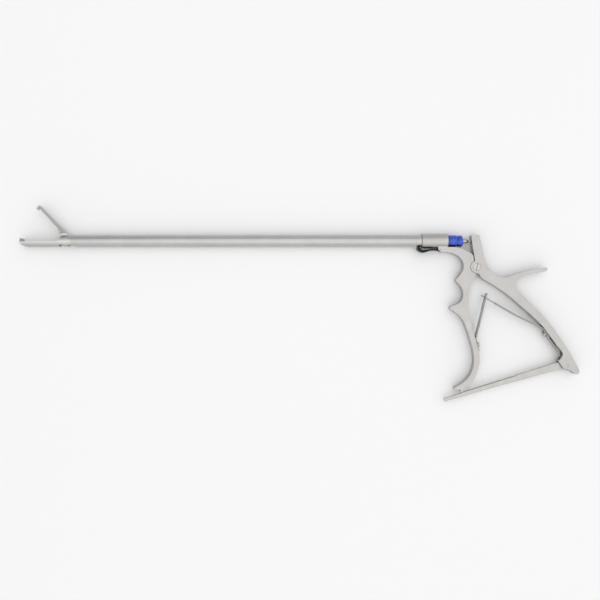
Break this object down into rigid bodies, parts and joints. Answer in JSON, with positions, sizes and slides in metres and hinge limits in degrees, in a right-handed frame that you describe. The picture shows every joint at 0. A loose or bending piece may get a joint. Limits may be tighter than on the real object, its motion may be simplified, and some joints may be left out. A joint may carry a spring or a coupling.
{
  "type": "long reach grasping forceps",
  "caption": "Long straight-shaft grasping forceps with a claw jaw, pistol handle, thumb spur, leaf springs, ratchet bar and a blue seal cap.",
  "frame": {"origin": "on the shaft's axis at the front face of the handle's hub", "axes": "+X along the shaft towards the handle, -X towards the jaws, -Y down the handle, +Z across the handle's thickness, out of the pivot screw's head"},
  "size_m": [0.4573, 0.1608, 0.012],
  "materials": {
    "handle_steel": "bead-blasted satin stainless steel",
    "shaft_steel": "finely ground stainless steel tube",
    "jaw_steel": "satin stainless steel",
    "rod_steel": "drawn bright stainless steel",
    "spring_steel": "satin spring steel strip",
    "screw_steel": "turned stainless steel",
    "black_steel": "blackened spring steel",
    "blue_silicone": "moulded silicone rubber, satin",
    "guide_plastic": "white PTFE"
  },
  "bodies": {
    "handle": {"front_handle": "handle_steel", "outer_tube": "shaft_steel", "front_guide_bush": "guide_plastic", "rear_guide_bush": "guide_plastic", "seal_cap": "blue_silicone", "fixed_jaw": "jaw_steel", "jaw_pivot_pin": "screw_steel", "latch_pin": "screw_steel", "front_leaf_spring": "spring_steel", "front_spring_screw": "screw_steel"},
    "lever": {"rear_lever": "handle_steel", "pivot_screw": "screw_steel", "rear_leaf_spring": "spring_steel", "ratchet_spring": "spring_steel", "rear_spring_screw": "screw_steel"},
    "rod": {"drive_rod": "rod_steel", "rod_ball_end": "rod_steel", "rod_head": "rod_steel", "rod_head_pin": "screw_steel"},
    "jaw": {"upper_jaw": "jaw_steel"},
    "ratchet": {"ratchet_bar": "handle_steel", "ratchet_pin": "screw_steel"},
    "latch": {"tube_latch": "black_steel"}
  },
  "joints": [
    {"name": "lever_squeeze", "type": "hinge", "parent": "handle", "child": "lever", "pos_m": [0.0445, -0.0214, 0], "axis": [0, 0, -1], "range_deg": [0, 11.6], "stiffness_Nm_per_rad": 2, "springref_deg": -8.59},
    {"name": "rod_slide", "type": "slide", "parent": "handle", "child": "rod", "axis": [1, 0, 0], "range_m": [0, 0.0044]},
    {"name": "jaw_close", "type": "hinge", "parent": "handle", "child": "jaw", "pos_m": [-0.2905, 0.0025, 0], "axis": [0, 0, 1], "range_deg": [0, 46]},
    {"name": "ratchet_follow", "type": "hinge", "parent": "lever", "child": "ratchet", "pos_m": [0.1184, -0.102, 0], "axis": [0, 0, 1], "range_deg": [0, 5.5]},
    {"name": "latch_release", "type": "hinge", "parent": "handle", "child": "latch", "pos_m": [0.0146, -0.0072, 0], "axis": [0, 0, 1], "range_deg": [0, 8], "stiffness_Nm_per_rad": 0.05, "springref_deg": -8.59}
  ],
  "couplings": [
    {"joint": "rod_slide", "follows": "lever_squeeze", "m_per_rad": 0.0213},
    {"joint": "jaw_close", "follows": "lever_squeeze", "ratio": 3.951},
    {"joint": "ratchet_follow", "follows": "lever_squeeze", "ratio": 0.4673}
  ]
}
